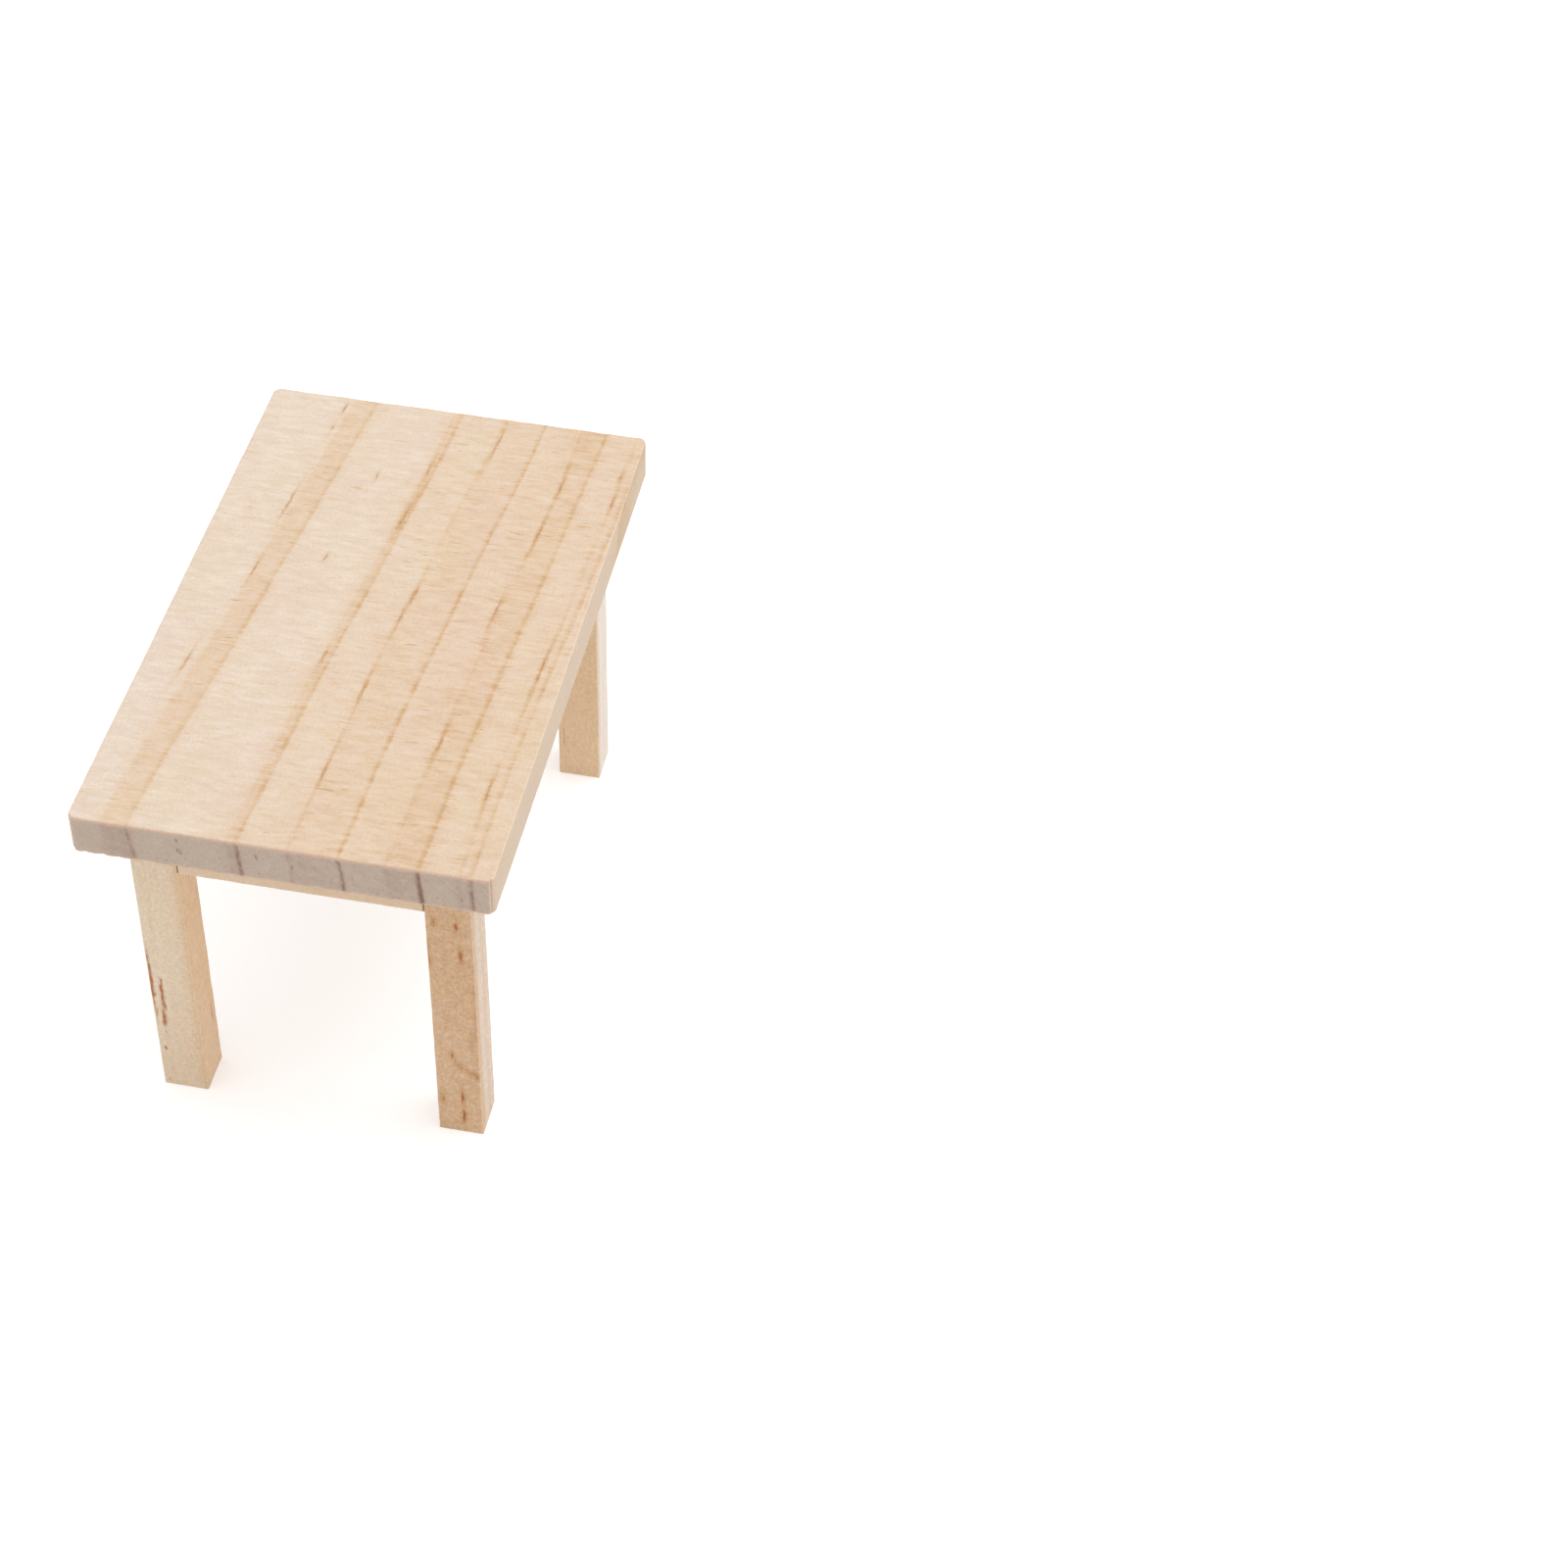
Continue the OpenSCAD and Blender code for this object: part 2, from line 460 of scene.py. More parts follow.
class Wood(NamedTuple):
    """How one piece of pine was cut from the tree, and how it looks."""

    node: str
    slot: str
    grain: int  # the axis along the fibres
    growth: tuple  # the axis and the sign of the way from the pith to the bark
    seed: int
    rings: list
    drift: float = 0.0  # how far the rings move inwards for each millimetre along the grain
    fan: float = 0.0  # how much they spread, for each millimetre along the grain
    jog: float = 0.0  # how far they step outwards round the middle of the piece's length
    pith: float = 30.0  # millimetres from the pith to the middle of the piece
    tilt: float = 0.3  # turn of the rings in the end grain, in radians
    streaks: tuple = ()
    streak_reach: tuple = (0.20, 0.6)  # half width of a streak along the growth and along the third axis
    streak_dark: float = 0.52  # how strongly a streak stains the wood
    low_dark: float = 0.0  # how much more strongly it does so on the face at the low side of the third axis
    halo: float = 0.28  # tan of the wood beside a streak
    resin: tuple = (0.3, 0.3)  # share of cells with a canal, at the third axis's low side and its high side
    dots: float = 0.0  # share of cells with a dark dot, on the face at the low side of the third axis
    tint: tuple = AS_IT_IS
    flat_tint: tuple = AS_IT_IS  # tint of the two faces that look along the growth
    inner_tint: tuple = AS_IT_IS  # tint of the one on the inner side, besides
    low_tint: tuple = AS_IT_IS  # tint of the face at the low side of the third axis
    high_tint: tuple = AS_IT_IS  # tint of the face at its high side
    foot_tint: tuple = AS_IT_IS  # tint at the low end of the grain
    end_tint: tuple = AS_IT_IS
    speckle: float = 0.06  # how strong the speckle of raised felt is
    mottle: float = 0.11  # how strong the small soft patches are
    chatter: float = 1.0  # how strong the planer's marks across the grain are
    jagged: float = 1.0  # how far the planer has torn the edges of the rings
    pits: float = 0.0  # how dark the small pits are
    round_corners: bool = False  # whether the upright corners are rounded, and so not painted pale like an arris, with its wear and painted highlight


PALEST = rgb(0.640, 0.537, 0.440)
PALE = rgb(0.612, 0.504, 0.405)
TAN = rgb(0.592, 0.450, 0.325)
DEEP = rgb(0.565, 0.406, 0.265)
LINE = rgb(0.480, 0.295, 0.145)
# pale colour of the arrises: partly wear, partly painted highlight
WORN_AND_HIGHLIGHT = rgb(0.700, 0.570, 0.420)
FRAYED = rgb(0.560, 0.375, 0.275)
RESIN = rgb(0.335, 0.112, 0.030)
END_EARLY = rgb(0.416, 0.328, 0.262)
END_BAND = rgb(0.350, 0.258, 0.202)
END_LINE = rgb(0.200, 0.112, 0.078)
END_CANAL = rgb(0.230, 0.150, 0.080)


BEYOND_MM = 3.5  # how far past the outer side of a piece its growth rings go on
JOG_REACH = (-25.0, 35.0)  # places along the grain between which the rings step outwards
EARLY_LEAST_MM = 0.8  # shortest earlywood between two bands of latewood
EARLY_START_MM = 1.3  # how far past a ring's outer edge the next earlywood starts
BAND_LEAD_MM = 2.5  # how long before a band the earlywood begins to darken, at most
BAND_SOFT_MM = 0.35  # how soft the edges of a band are


def band_stops(rings, span, base_share):
    """Ramp stops for the slow change of tan from ring to ring, with base_share of the earlywood's own tan."""
    stops = []
    after = 0.0
    for ring in rings:
        start = ring.line - ring.band
        after = min(after, start - EARLY_LEAST_MM)
        lead = min(BAND_LEAD_MM, 0.5 * (start - after))
        base = ring.base * base_share
        tan = base + ring.tan - ring.base
        stops += [
            (after, base),
            (start - lead, base),
            (start - BAND_SOFT_MM, base + 0.35 * (tan - base)),
            (start + BAND_SOFT_MM, tan),
            (ring.line, tan),
            (ring.line + BAND_SOFT_MM, base + 0.5 * (tan - base)),
        ]
        after = ring.line + EARLY_START_MM
    return [(place / span, grey(tan)) for place, tan in stops]


SAWN_INNER = 1.2  # how much stronger the inner edge of the latewood is on a sawn end


def line_stops(rings, span, line_width, sawn=False):
    """Ramp stops for the dark edges of the rings, as the planed faces or the sawn ends show them."""
    stops = [(0.0, 0.0)]
    for ring in rings:
        start = ring.line - ring.band
        inner = ring.inner * SAWN_INNER if sawn else ring.inner
        if inner:
            stops += [(start - 0.8 * line_width, 0.0), (start, inner), (start + 0.6 * line_width, 0.0)]
        stops += [
            (ring.line - line_width, 0.0),
            (ring.line, ring.sawn if sawn else ring.edge),
            (ring.line + 0.5 * line_width, 0.0),
        ]
    return [(place / span, grey(tan)) for place, tan in stops]


class Grain:
    """The sockets that say where a point lies in a piece of wood, in millimetres from its middle."""

    def __init__(self, tree, wood):
        middle, half = node_box(wood.node)
        growth_axis, growth_sign = wood.growth
        side_axis = X + Y + Z - wood.grain - growth_axis
        parts = tree.split(tree.vector("SUBTRACT", tree.place(), middle.tolist()))
        self.along = parts[wood.grain]
        self.out = tree.math("MULTIPLY", parts[growth_axis], growth_sign)
        self.side = parts[side_axis]
        self.place = tree.join(self.along, self.out, self.side)
        self.half_length = half[wood.grain]
        self.width = 2 * half[growth_axis]
        self.span = self.width + BEYOND_MM
        self.thickness = 2 * half[side_axis]
        past_growth = tree.math("SUBTRACT", tree.math("ABSOLUTE", self.out), half[growth_axis])
        past_side = tree.math("SUBTRACT", tree.math("ABSOLUTE", self.side), half[side_axis])
        self.outside = tree.math("MAXIMUM", past_growth, past_side)
        self.ring = self.ring_distance(tree, wood)
        self.ring_place = tree.join(self.along, self.ring, self.side)

    def ring_distance(self, tree, wood):
        """How far out from the inner side of the piece, along the growth of the tree."""
        cosine, sine = math.cos(wood.tilt), math.sin(wood.tilt)
        out = tree.math("MULTIPLY_ADD", self.out, cosine, tree.math("MULTIPLY", self.side, sine))
        side = tree.math("MULTIPLY_ADD", self.out, -sine, tree.math("MULTIPLY", self.side, cosine))
        from_pith = tree.math("ADD", out, wood.pith)
        square = tree.math("MULTIPLY_ADD", from_pith, from_pith, tree.math("MULTIPLY", side, side))
        distance = tree.math("SUBTRACT", tree.math("SQRT", square), wood.pith - self.width / 2)
        bend = tree.noise(self.place, (38, 14, 14), 1.0, seed=wood.seed)
        distance = tree.math("MULTIPLY_ADD", bend, 0.35, distance)
        distance = tree.math("MULTIPLY_ADD", self.along, -wood.drift, distance)
        if wood.jog:
            distance = tree.math("MULTIPLY_ADD", tree.step(self.along, *JOG_REACH), -wood.jog, distance)
        closing = tree.math("MULTIPLY_ADD", self.along, -wood.fan, 1.0)
        return tree.math("DIVIDE", distance, closing)


class Facing:
    """The sockets that say which way a face looks. Those that name a face are 1 on it and 0 on the others."""

    def __init__(self, tree, wood):
        side_axis = X + Y + Z - wood.grain - wood.growth[0]
        signed = tree.split(tree.add("ShaderNodeTexCoord", {}, output=NORMAL))
        self.normal = [tree.math("ABSOLUTE", part) for part in signed]
        growth_axis, growth_sign = wood.growth
        turning, square = 0.60, 0.90  # part of the normal on an axis, where a face starts and is full
        self.flat = tree.step(self.normal[growth_axis], turning, square)
        self.inner = tree.step(tree.math("MULTIPLY", signed[growth_axis], -growth_sign), turning, square)
        self.wide = tree.math("SUBTRACT", 1.0, self.flat)
        self.low = tree.step(signed[side_axis], -turning, -square)
        self.high = tree.step(signed[side_axis], turning, square)
        # squareness is 1 where the surface faces along an axis, and less on an eased edge
        level = tree.math("MAXIMUM", self.normal[X], self.normal[Y])
        if wood.round_corners:
            level = tree.length(tree.join(self.normal[X], self.normal[Y], 0.0))
        self.squareness = tree.math("MAXIMUM", level, self.normal[Z])


def faded(tree, wood, grain, line):
    """The dark edges of the rings, with stretches where they fade."""
    fade = tree.noise(grain.place, (4.0, 3.0, 3.0), 3.0, 0.65, seed=wood.seed + 9)
    strength = tree.math("MAXIMUM", tree.math("MULTIPLY_ADD", fade, 0.65, 1.0), 0.15)
    return tree.math("MULTIPLY", line, strength)


def resin_canals(tree, wood, grain):
    """Thin canals scattered along the grain, which show as dashes where a face cuts them."""
    offset, chance, length = tree.cells(grain.ring_place, (15.0, 1.1, 1.1), wood.seed)
    off_along, off_out, off_side = tree.split(offset)
    off_axis = tree.math("MULTIPLY_ADD", off_out, off_out, tree.math("MULTIPLY", off_side, off_side))
    off_axis = tree.math("SQRT", off_axis)
    reach = tree.math("MULTIPLY_ADD", length, 3.5, 1.0)
    off_end = tree.math("DIVIDE", tree.math("ABSOLUTE", off_along), reach)
    inside = tree.step(off_end, 1.0, 0.4)
    core = tree.step(off_axis, 0.17, 0.04)
    low, high = wood.resin
    share = tree.math("MULTIPLY_ADD", grain.side, (high - low) / grain.thickness, (high + low) / 2)
    present = tree.math("LESS_THAN", chance, share)
    return tree.math("MULTIPLY", tree.math("MULTIPLY", inside, core), present)


def pin_dots(tree, wood, grain, facing):
    """Dark dots the size of a pin's point, where small canals come out through one face."""
    level = tree.join(grain.along, grain.out, 0.0)
    offset, chance, _ = tree.cells(level, (1.9, 1.3, 1.0), wood.seed + 5)
    size = tree.math("MULTIPLY_ADD", chance, 0.25, 0.12)
    near = tree.math("DIVIDE", tree.length(offset), size)
    present = tree.math("LESS_THAN", chance, wood.dots)
    return tree.math("MULTIPLY", tree.math("MULTIPLY", tree.step(near, 1.3, 0.5), present), facing.low)


def open_streaks(tree, wood, grain):
    """How near a point is to the nearest chosen streak: 1 at the streak's own edge and 0 in its core."""
    jitter = tree.noise(grain.place, (1.5, 0.5, 0.5), 2.0, seed=wood.seed + 10)
    shifted = tree.vector("ADD", grain.ring_place, tree.join(0.0, tree.math("MULTIPLY", jitter, 0.10), 0.0))
    nearest = 9.0  # far beyond the edge of any streak
    for streak in wood.streaks:
        centre = (streak.along, streak.ring, streak.side)
        reach = wood.streak_reach[::-1] if streak.turned else wood.streak_reach
        offset = tree.vector("SUBTRACT", shifted, centre)
        offset = tree.vector("MULTIPLY", offset, (2 / streak.length, 1 / reach[0], 1 / reach[1]))
        nearest = tree.math("MINIMUM", nearest, tree.length(offset))
    break_up = tree.noise(grain.place, (1.1, 0.3, 0.3), 2.0, 0.6, seed=wood.seed + 14)
    return tree.math("MULTIPLY_ADD", break_up, 0.55, nearest)


def pine(name, wood):
    """Bare planed pine, with growth rings, fibres, resin canals, planing marks and sawn end grain."""
    tree = Tree(name)
    grain = Grain(tree, wood)
    facing = Facing(tree, wood)
    seed = wood.seed

    # growth rings, torn a little across the grain by the planer
    torn_edge = tree.noise(grain.place, (0.5, 2.5, 2.5), 2.0, 0.6, seed=seed + 1)
    rough_edge = tree.noise(grain.place, (1.5, 0.7, 0.7), 2.0, 0.6, seed=seed + 15)
    ragged = tree.sum(grain.ring, ((torn_edge, 0.09 * wood.jagged), (rough_edge, 0.07 * wood.jagged)))
    factor = tree.math("DIVIDE", ragged, grain.span)
    band = tree.ramp(factor, band_stops(wood.rings, grain.span, 1.0))
    line = faded(tree, wood, grain, tree.ramp(factor, line_stops(wood.rings, grain.span, 0.66)))

    # fibres, felt raised by sanding, soft patches and pits
    fibre = tree.noise(grain.place, (7.0, 0.20, 0.20), 2.0, seed=seed + 2)
    felt = tree.noise(grain.place, (0.50, 0.36, 0.36), 3.0, 0.70, seed=seed + 3)
    mottle = tree.noise(grain.place, (1.3, 1.8, 1.8), 2.0, 0.6, seed=seed + 11)
    patch = tree.noise(grain.place, (18, 9, 9), 1.0, seed=seed + 4)
    pits = tree.step(tree.noise(grain.place, (0.60, 0.38, 0.38), 2.0, 0.6, seed=seed + 16), 0.55, 1.2)
    hue = tree.noise(grain.place, (1.4, 2.2, 2.2), 3.0, 0.7, seed=seed + 17)
    hue = tree.sum(hue, ((tree.noise(grain.place, (16, 9, 9), 1.0, seed=seed + 19), 0.8),))

    # marks left across the grain by the planer: a fine ripple, and here and there a line of torn fibres
    swerve = tree.noise(grain.place, (14, 9, 9), 1.0, seed=seed + 18)
    bent = tree.join(tree.math("MULTIPLY_ADD", swerve, 0.30, grain.along), grain.out, grain.side)
    ripple = tree.noise(bent, (0.70, 3.0, 3.0), 3.0, 0.65, seed=seed + 5)
    ripple = tree.math("MULTIPLY", ripple, facing.wide)
    torn = tree.noise(bent, (0.30, 4.2, 4.2), 2.0, 0.6, seed=seed + 12)
    torn = tree.math("MULTIPLY", tree.step(torn, 0.48, 0.90), facing.wide)
    torn_where = tree.noise(grain.place, (7, 7, 7), 1.0, seed=seed + 6)
    torn_where = tree.math("MULTIPLY_ADD", band, 1.2, torn_where)
    torn = tree.math("MULTIPLY", torn, tree.step(torn_where, -0.6, 0.8))

    # colour of the faces along the grain
    tan = tree.math("MULTIPLY_ADD", line, tree.math("MULTIPLY_ADD", ripple, 0.30 * wood.chatter, 1.0), band)
    nearest = open_streaks(tree, wood, grain)
    tan = tree.sum(tan, (
        (fibre, 0.04), (felt, 0.07), (mottle, wood.mottle), (patch, 0.07), (pits, wood.pits),
        (ripple, 0.24 * wood.chatter), (torn, 0.95 * wood.chatter), (tree.step(nearest, 3.0, 0.9), wood.halo),
    ))
    shades = [(0.0, PALEST), (0.15, PALE), (0.47, TAN), (0.67, DEEP), (1.0, LINE)]
    face = tree.ramp(tree.math("MULTIPLY_ADD", tan, 0.8, 0.15), shades)
    canal = tree.math("MAXIMUM", resin_canals(tree, wood, grain), tree.step(nearest, 1.2, 0.25))
    if wood.dots:
        canal = tree.math("MAXIMUM", canal, pin_dots(tree, wood, grain, facing))
    stain = tree.math("MULTIPLY_ADD", facing.low, wood.low_dark, wood.streak_dark)
    face = tree.mix(tree.math("MULTIPLY", canal, stain), face, RESIN)
    pink = tree.math("MULTIPLY_ADD", hue, -0.021, 1.0)
    yellow = tree.math("MULTIPLY_ADD", hue, 0.011, 1.0)
    face = tree.mix(1.0, face, tree.join(1.0, yellow, pink), blend="MULTIPLY")
    at_foot = tree.step(grain.along, 0.15 * grain.half_length, -0.85 * grain.half_length)
    tints = (
        (1.0, wood.tint), (facing.flat, wood.flat_tint), (facing.inner, wood.inner_tint),
        (facing.low, wood.low_tint), (facing.high, wood.high_tint), (at_foot, wood.foot_tint),
    )
    for where, tint in tints:
        if tint != AS_IT_IS:
            face = tree.mix(where, face, rgb(*tint), blend="MULTIPLY")

    # sawn end grain: darker and greyer, with the rings cut square across, pores and faint saw scratches
    end_band = tree.ramp(factor, band_stops(wood.rings, grain.span, 0.3))
    end_line = tree.ramp(factor, line_stops(wood.rings, grain.span, 0.60, sawn=True))
    end_line = faded(tree, wood, grain, end_line)
    pores = tree.noise(grain.place, (0.5, 0.16, 0.16), 2.0, 0.6, seed=seed + 7)
    blotch = tree.noise(grain.place, (2.0, 1.1, 1.1), 2.0, 0.6, seed=seed + 8)
    slant = tree.math("ADD", grain.out, grain.side)
    scratch = tree.noise(tree.join(grain.along, slant, grain.side), (5.0, 0.22, 6.0), 2.0, seed=seed + 13)
    marks = ((end_band, 0.8), (end_line, 1.0), (pores, 0.16), (blotch, 0.16), (scratch, 0.16))
    end_tan = tree.sum(-0.03, marks)
    end = tree.ramp(end_tan, [(0.0, END_EARLY), (0.45, END_BAND), (1.0, END_LINE)])
    end = tree.mix(tree.math("MULTIPLY", canal, 0.75), end, END_CANAL)
    end_pink = tree.math("MULTIPLY_ADD", blotch, 0.014, 1.0)
    end_green = tree.math("MULTIPLY_ADD", scratch, 0.012, 1.0)
    end = tree.mix(1.0, end, tree.join(end_pink, end_green, 1.0), blend="MULTIPLY")
    end = tree.mix(1.0, end, rgb(*wood.end_tint), blend="MULTIPLY")

    # the rim of the end grain is frayed
    rim = tree.sum(grain.outside, ((pores, 0.16), (blotch, 0.22)))
    end = tree.mix(tree.math("MULTIPLY", tree.step(rim, -0.70, -0.15), 0.8), end, FRAYED)

    # the faces and the ends meet at a ragged border, and the arrises are painted pale, partly for wear and
    # partly as a painted highlight, and take the frayed colour near the ends
    toward_end = facing.normal[wood.grain]
    is_end = tree.step(tree.sum(toward_end, ((pores, 0.12), (blotch, 0.10))), 0.62, 0.92)
    colour = tree.mix(is_end, face, end)
    worn_and_highlight_tone = tree.mix(tree.step(toward_end, 0.20, 0.55), WORN_AND_HIGHLIGHT, FRAYED)
    worn_and_highlight = tree.step(tree.math("MULTIPLY_ADD", felt, 0.06, facing.squareness), 0.98, 0.80)
    colour = tree.mix(tree.math("MULTIPLY", worn_and_highlight, 0.5), colour, worn_and_highlight_tone)
    shade = tree.sum(1.0, ((felt, wood.speckle), (mottle, 0.020), (ripple, -0.036 * wood.chatter)))
    colour = tree.mix(1.0, colour, tree.join(shade, shade, shade), blend="MULTIPLY")

    height = tree.math("MULTIPLY", fibre, 0.30)
    height = tree.sum(height, ((felt, 0.35), (ripple, 0.18), (torn, -0.5), (line, 0.5), (canal, -1.5)))
    bump = tree.add("ShaderNodeBump", {"Height": height, "Strength": 0.6, "Distance": 0.02 * MM})
    rough = tree.math("MULTIPLY_ADD", band, -0.10, 0.70)
    tree.put(tree.shader.inputs["Base Color"], colour)
    tree.put(tree.shader.inputs["Roughness"], tree.math("MULTIPLY_ADD", felt, 0.02, rough))
    tree.put(tree.shader.inputs["Normal"], bump)
    tree.shader.inputs["Specular IOR Level"].default_value = 0.35
    return tree.material


def dried_glue(name):
    """Brown wood glue, dry and dull, darker where it is thick."""
    tree = Tree(name)
    lumps = tree.noise(tree.place(), (0.6, 0.6, 0.6), 3.0, 0.6)
    amount = tree.math("MULTIPLY_ADD", lumps, 0.35, 0.5)
    colour = tree.ramp(amount, [(0.0, rgb(0.16, 0.080, 0.035)), (1.0, rgb(0.38, 0.22, 0.10))])
    tree.put(tree.shader.inputs["Base Color"], colour)
    bump = tree.add("ShaderNodeBump", {"Height": lumps, "Distance": 0.04 * MM})
    tree.put(tree.shader.inputs["Normal"], bump)
    tree.shader.inputs["Roughness"].default_value = 0.55
    return tree.material


# ---------------------------------------------------------------- the table

LEGS = ("leg_front_left", "leg_front_right", "leg_back_left", "leg_back_right")
LONG_APRONS = ("long_apron_front", "long_apron_back")
END_APRONS = ("end_apron_left", "end_apron_right")

BOARD_RINGS = [
    Ring(line=11.5, band=3.2, base=-0.05, tan=0.42, edge=0.28, inner=0.10, sawn=0.42),
    Ring(line=24.8, band=1.3, base=0.07, tan=0.46, edge=0.36, inner=0.10, sawn=0.66),
    Ring(line=37.3, band=6.2, base=0.23, tan=0.41, edge=0.45, inner=0.24, sawn=0.76),
    Ring(line=46.8, band=3.8, base=0.38, tan=0.56, edge=0.36, inner=0.16, sawn=1.10),
    Ring(line=53.2, band=1.5, base=0.34, tan=0.42, edge=0.40, inner=0.20, sawn=0.88),
]
BOARD_HALF = node_box("tabletop")[1].tolist()
TOP = BOARD_HALF[Z]  # height of the board's top face above the middle of the board
BELOW = -TOP  # height of its underside
NEAR_END = -BOARD_HALF[X]  # place of its left end
TOP_STREAKS = (
    Streak(42.2, 7.3, TOP, 2), Streak(37.5, 7.2, TOP, 2), Streak(20.5, 7.5, TOP, 7),
    Streak(6.0, 8.3, TOP, 4), Streak(-14.0, 6.9, TOP, 5), Streak(31.5, 23.9, TOP, 4),
    Streak(21.0, 24.1, TOP, 6), Streak(-9.5, 23.8, TOP, 2.5), Streak(28.5, 17.1, TOP, 2),
    Streak(10.0, 16.5, TOP, 2), Streak(38.5, 31.6, TOP, 8), Streak(5.0, 31.3, TOP, 5),
    Streak(0.0, 31.1, TOP, 3), Streak(-14.6, 31.0, TOP, 4), Streak(-30.1, 31.0, TOP, 5),
    Streak(31.4, 43.3, TOP, 6), Streak(21.0, 43.2, TOP, 6), Streak(4.0, 42.5, TOP, 6),
    Streak(-22.4, 43.2, TOP, 5), Streak(35.4, 51.3, TOP, 3), Streak(29.7, 51.6, TOP, 3),
    Streak(-6.0, 51.8, TOP, 9), Streak(-30.0, 51.4, TOP, 5),
)
UNDERSIDE_STREAKS = (
    Streak(19.3, 23.5, BELOW, 3.5), Streak(10.6, 25.0, BELOW, 8), Streak(12.0, 32.9, BELOW, 15),
    Streak(4.7, 24.6, BELOW, 2.5), Streak(-5.4, 25.2, BELOW, 3), Streak(-8.5, 31.4, BELOW, 4),
    Streak(-4.7, 36.9, BELOW, 6), Streak(-15.7, 33.8, BELOW, 7), Streak(-17.5, 29.0, BELOW, 6),
    Streak(-22.8, 25.5, BELOW, 9), Streak(-26.2, 18.6, BELOW, 4), Streak(-21.2, 15.4, BELOW, 3),
    Streak(-42.0, 32.3, BELOW, 6), Streak(-42.5, 34.2, BELOW, 5), Streak(-42.0, 39.5, BELOW, 5),
    Streak(-41.5, 41.4, BELOW, 7), Streak(-42.5, 50.5, BELOW, 5), Streak(-42.0, 14.9, BELOW, 6),
    Streak(-6.0, 2.5, BELOW, 7), Streak(35.0, -0.9, BELOW, 7), Streak(-30.0, 4.6, BELOW, 5),
)
EDGE_STREAKS = (
    Streak(-37.0, 2.8, -2.2, 6, turned=True), Streak(-34.0, 2.6, -1.5, 7, turned=True),
    Streak(-31.5, 2.4, -2.6, 5, turned=True), Streak(-6.7, 0.2, -2.5, 6, turned=True),
)
END_GRAIN_SPOTS = (
    Streak(NEAR_END, 17.2, 0.1, 4), Streak(NEAR_END, 17.5, -0.1, 4), Streak(NEAR_END, 17.4, 1.8, 1.6),
    Streak(NEAR_END, 27.1, 1.0, 1.8), Streak(NEAR_END, 31.3, 0.2, 1.8),
)
BOARD = Wood(
    node="tabletop", slot="pine_board", grain=X, growth=(Y, -1.0), seed=1, rings=BOARD_RINGS,
    drift=0.082, fan=0.00108, jog=1.1, pith=120.0, tilt=0.07,
    streaks=TOP_STREAKS + UNDERSIDE_STREAKS + EDGE_STREAKS + END_GRAIN_SPOTS,
    streak_dark=0.45, low_dark=0.40, resin=(0.55, 0.0), speckle=0.10,
    flat_tint=(0.89, 0.90, 0.905), inner_tint=(1.04, 0.955, 0.94), low_tint=(0.87, 0.75, 0.66),
    round_corners=True,
)

STICK_RINGS = [
    Ring(line=1.6, band=0.8, base=0.05, tan=0.35, edge=0.15),
    Ring(line=3.9, band=0.9, base=0.10, tan=0.40, edge=0.15),
    Ring(line=6.0, band=0.9, base=0.10, tan=0.40, edge=0.15),
]
LEG_LOOK = {"slot": "pine_leg", "grain": Z, "chatter": 0.10, "jagged": 0.3}
LEG_HALF = node_box("leg_front_left")[1].tolist()
OUTER = 2 * LEG_HALF[X]  # distance of a leg's outer face from its inner side
LEFT_FACE = -LEG_HALF[X]  # place of a leg's left face on the third axis
GRAZED = OUTER + 0.9  # place of a canal that the plane took away, so that only its tan rim is left
SCRATCH_RING = OUTER + 0.4  # a little past the face, so that the scratch is fainter than a canal
SCRATCH_DAB = 0.9  # length of each streak in the scratch
SCRATCH_PATH = (  # along the grain and across it, from the deep end to the edge of the leg
    (-10.3, 0.45), (-10.8, 0.25), (-11.25, 0.05), (-11.65, -0.2), (-12.0, -0.48), (-12.2, -0.8),
    (-12.35, -1.12), (-12.5, -1.45), (-12.65, -1.78), (-12.85, -2.12), (-13.1, -2.45), (-13.5, -2.72),
)
SCRATCH = tuple(Streak(along, SCRATCH_RING, side, SCRATCH_DAB) for along, side in SCRATCH_PATH)
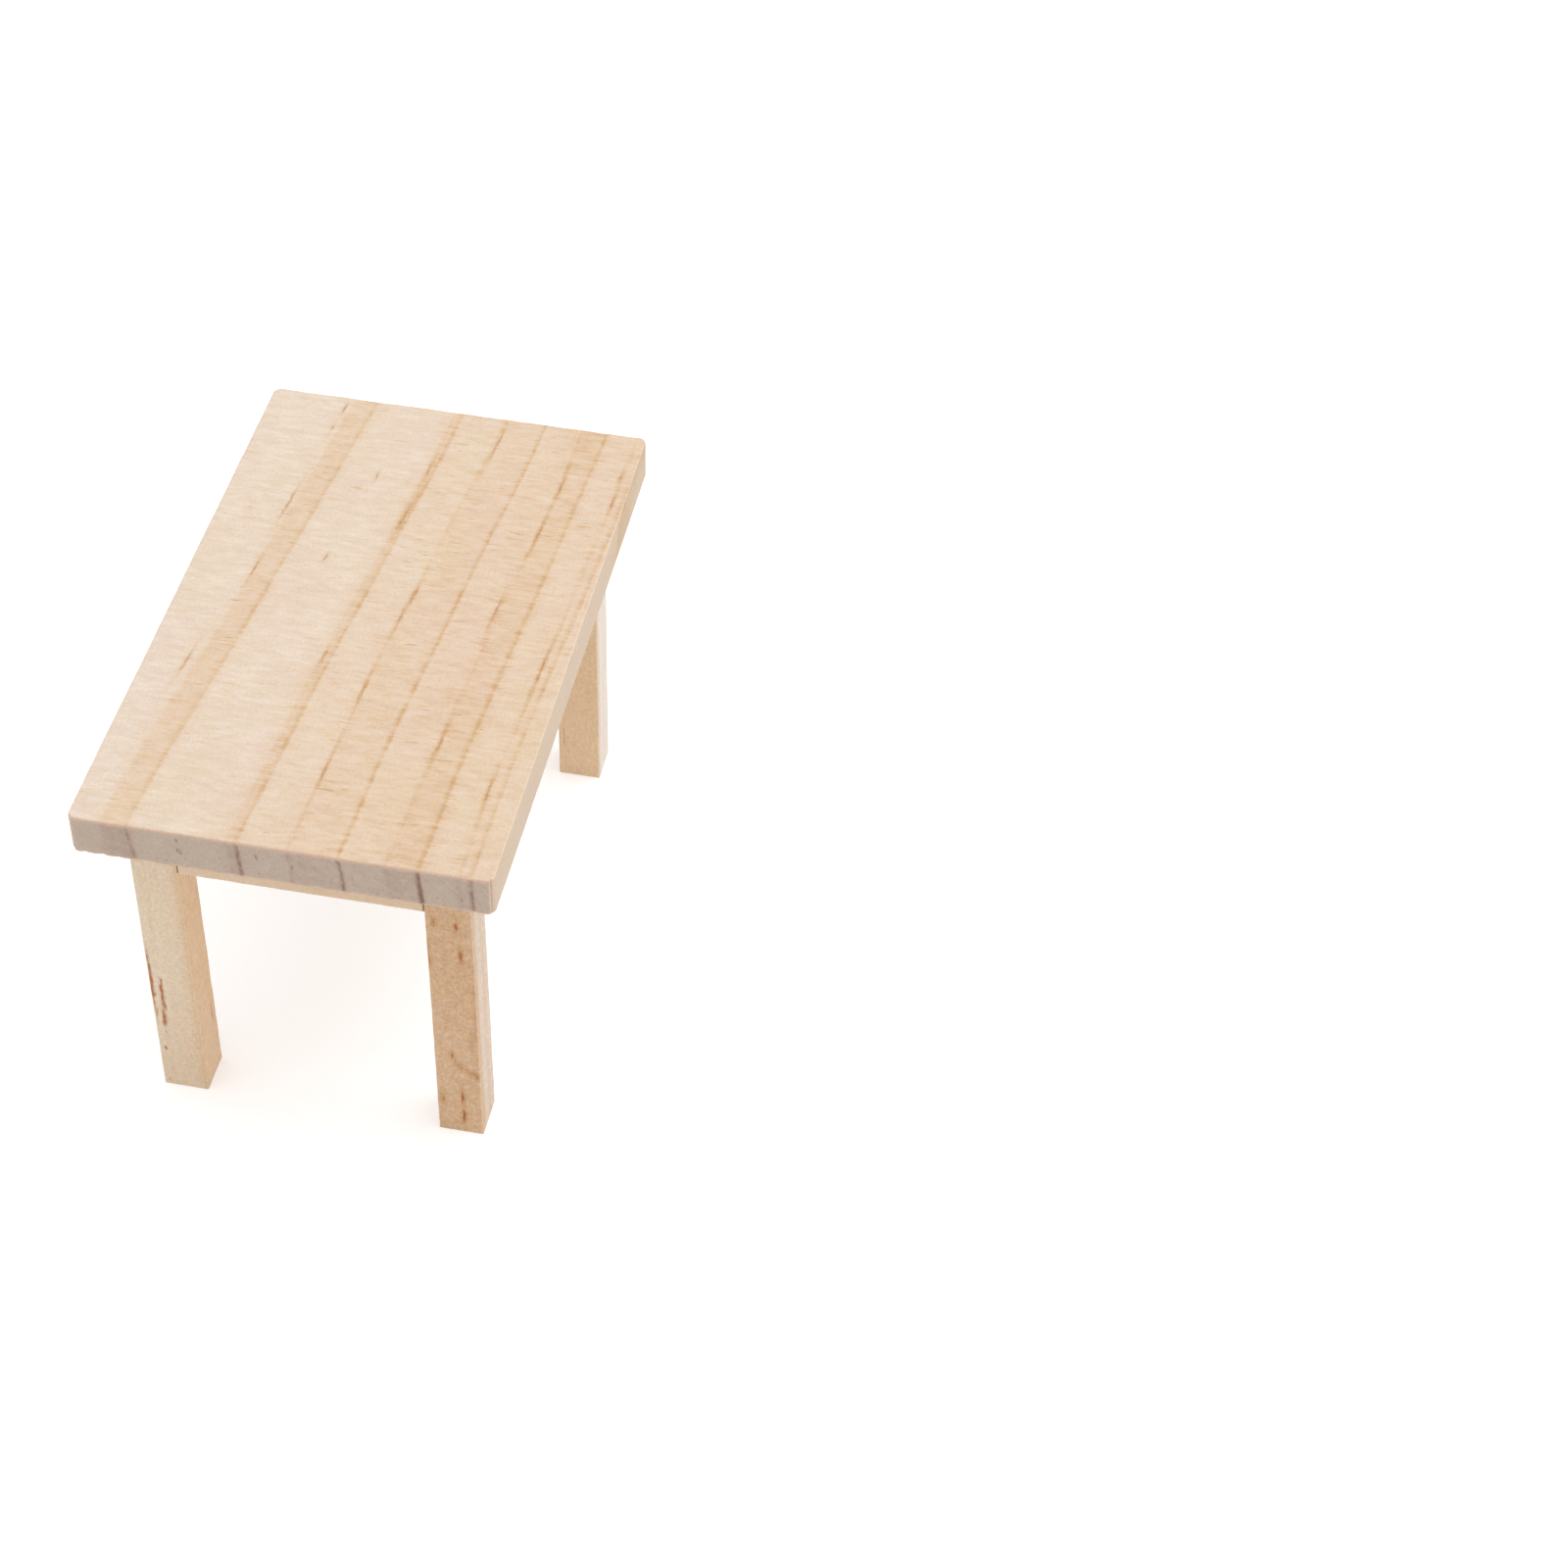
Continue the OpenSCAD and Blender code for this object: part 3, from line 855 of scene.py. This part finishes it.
LEG_CUTS = (
    Wood(
        node="leg_front_left", growth=(X, -1.0), seed=10, tilt=0.12, **LEG_LOOK,
        rings=[
            Ring(line=2.6, band=0.8, base=0.0, tan=0.3, edge=0.2),
            Ring(line=9.0, band=3.9, base=0.0, tan=0.74, edge=0.1),
        ],
        streaks=(
            Streak(10.2, OUTER, -1.35, 2.4), Streak(-9.8, OUTER, 0.65, 1.3), Streak(-19.1, OUTER, 2.25, 2.0),
            Streak(-17.9, OUTER, -0.45, 2.6), Streak(-22.0, OUTER, -0.5, 2.4), Streak(15.7, OUTER, -0.9, 1.6),
            Streak(9.2, OUTER, 3.0, 3.0), Streak(16.0, OUTER, 2.0, 1.0), Streak(3.6, GRAZED, -2.9, 1.6),
            Streak(-1.3, GRAZED, -2.9, 2.8), Streak(-4.8, GRAZED, -2.8, 3.2), Streak(-6.8, GRAZED, -2.2, 2.4),
        ) + SCRATCH,
        streak_reach=(0.7, 0.25), streak_dark=0.95, tint=(0.97, 0.95, 0.96), flat_tint=(0.97, 0.92, 0.86),
        end_tint=(1.55, 1.55, 1.58), speckle=0.28, mottle=0.17, pits=0.65,
    ),
    Wood(
        node="leg_front_right", growth=(X, -1.0), seed=20, tilt=0.05, **LEG_LOOK,
        rings=[
            Ring(line=3.1, band=0.8, base=-0.2, tan=0.1, edge=0.1),
            Ring(line=8.4, band=3.0, base=-0.2, tan=0.55, edge=0.1),
        ],
        tint=(1.07, 1.14, 1.28), flat_tint=(1.03, 0.935, 0.77), high_tint=(0.92, 0.84, 0.74),
        end_tint=(1.58, 1.60, 1.62), speckle=0.18, pits=0.30,
    ),
    Wood(
        node="leg_back_left", growth=(Y, -1.0), seed=30, tilt=0.05, **LEG_LOOK,
        rings=[
            Ring(line=1.9, band=0.8, base=-0.2, tan=0.1, edge=0.1),
            Ring(line=7.6, band=1.6, base=0.12, tan=0.75, edge=0.1),
        ],
        streaks=(
            Streak(-4.5, 0.45, LEFT_FACE, 15.0), Streak(-7.3, 1.75, LEFT_FACE, 9.0),
            Streak(-11.6, 1.45, LEFT_FACE, 5.0), Streak(-17.7, 1.0, LEFT_FACE - 0.3, 1.4),
            Streak(-24.5, 1.0, LEFT_FACE - 0.35, 1.1),
        ),
        # halo=-0.12 paints the wood beside these streaks pale: a painted highlight
        streak_reach=(0.36, 0.6), streak_dark=0.95, halo=-0.12, resin=(0.06, 0.3), tint=(1.00, 0.985, 0.91),
        flat_tint=(1.21, 1.23, 1.315), inner_tint=(0.95, 0.97, 1.025), foot_tint=(0.985, 0.955, 0.92),
        end_tint=(1.62, 1.64, 1.72),
        speckle=0.18, mottle=0.15, pits=0.16,
    ),
    Wood(
        node="leg_back_right", growth=(X, 1.0), seed=40, tilt=0.4, **LEG_LOOK,
        rings=STICK_RINGS, end_tint=(1.58, 1.60, 1.62), speckle=0.15,
    ),
)

APRON_LOOK = {"slot": "pine_apron", "rings": STICK_RINGS, "chatter": 0.15, "jagged": 0.4}
APRON_CUTS = (
    Wood(
        node="long_apron_front", grain=X, growth=(Y, -1.0), seed=50, **APRON_LOOK,
        streaks=(
            Streak(17.0, 2.6, -4.0, 3.0), Streak(6.0, 4.2, -4.0, 2.5), Streak(-13.0, 3.4, -4.0, 3.5),
            Streak(12.0, 0.5, 1.2, 9.0, turned=True), Streak(-8.0, -0.1, -0.8, 7.0, turned=True),
            Streak(-24.0, 0.35, 0.6, 8.0, turned=True),
        ),
        streak_dark=0.7, flat_tint=(0.93, 0.85, 0.78), speckle=0.12,
    ),
    Wood(
        node="long_apron_back", grain=X, growth=(Y, 1.0), seed=60, **APRON_LOOK,
        streaks=(Streak(11.0, 5.7, -2.0, 2.6),), streak_reach=(0.6, 0.45), streak_dark=0.8, dots=0.45,
        tint=(0.88, 0.85, 0.87), flat_tint=(0.98, 0.93, 0.90), speckle=0.14, pits=0.3,
    ),
    Wood(
        node="end_apron_left", grain=Y, growth=(X, -1.0), seed=70, **APRON_LOOK,
        tint=(1.0, 1.0, 0.97), speckle=0.12,
    ),
    Wood(
        node="end_apron_right", grain=Y, growth=(X, 1.0), seed=80, **APRON_LOOK,
        tint=(1.0, 1.0, 0.94), flat_tint=(0.95, 0.90, 0.84), speckle=0.12,
    ),
)

add_camera()
add_stage()
board_piece("tabletop_board", "tabletop", pine("pine_board", BOARD))
for wood in LEG_CUTS + APRON_CUTS:
    stick_piece(wood, pine("pine_" + wood.node, wood))
glue = dried_glue("dried_glue")
glue_piece("glue_under_top", [contact("tabletop", node) for node in LEGS + LONG_APRONS + END_APRONS], glue)
apron_ends = [
    contact(apron, leg)
    for apron in LONG_APRONS + END_APRONS
    for leg in LEGS
    if apron.split("_")[-1] in leg.split("_")
]
glue_piece("glue_apron_ends", apron_ends, glue)
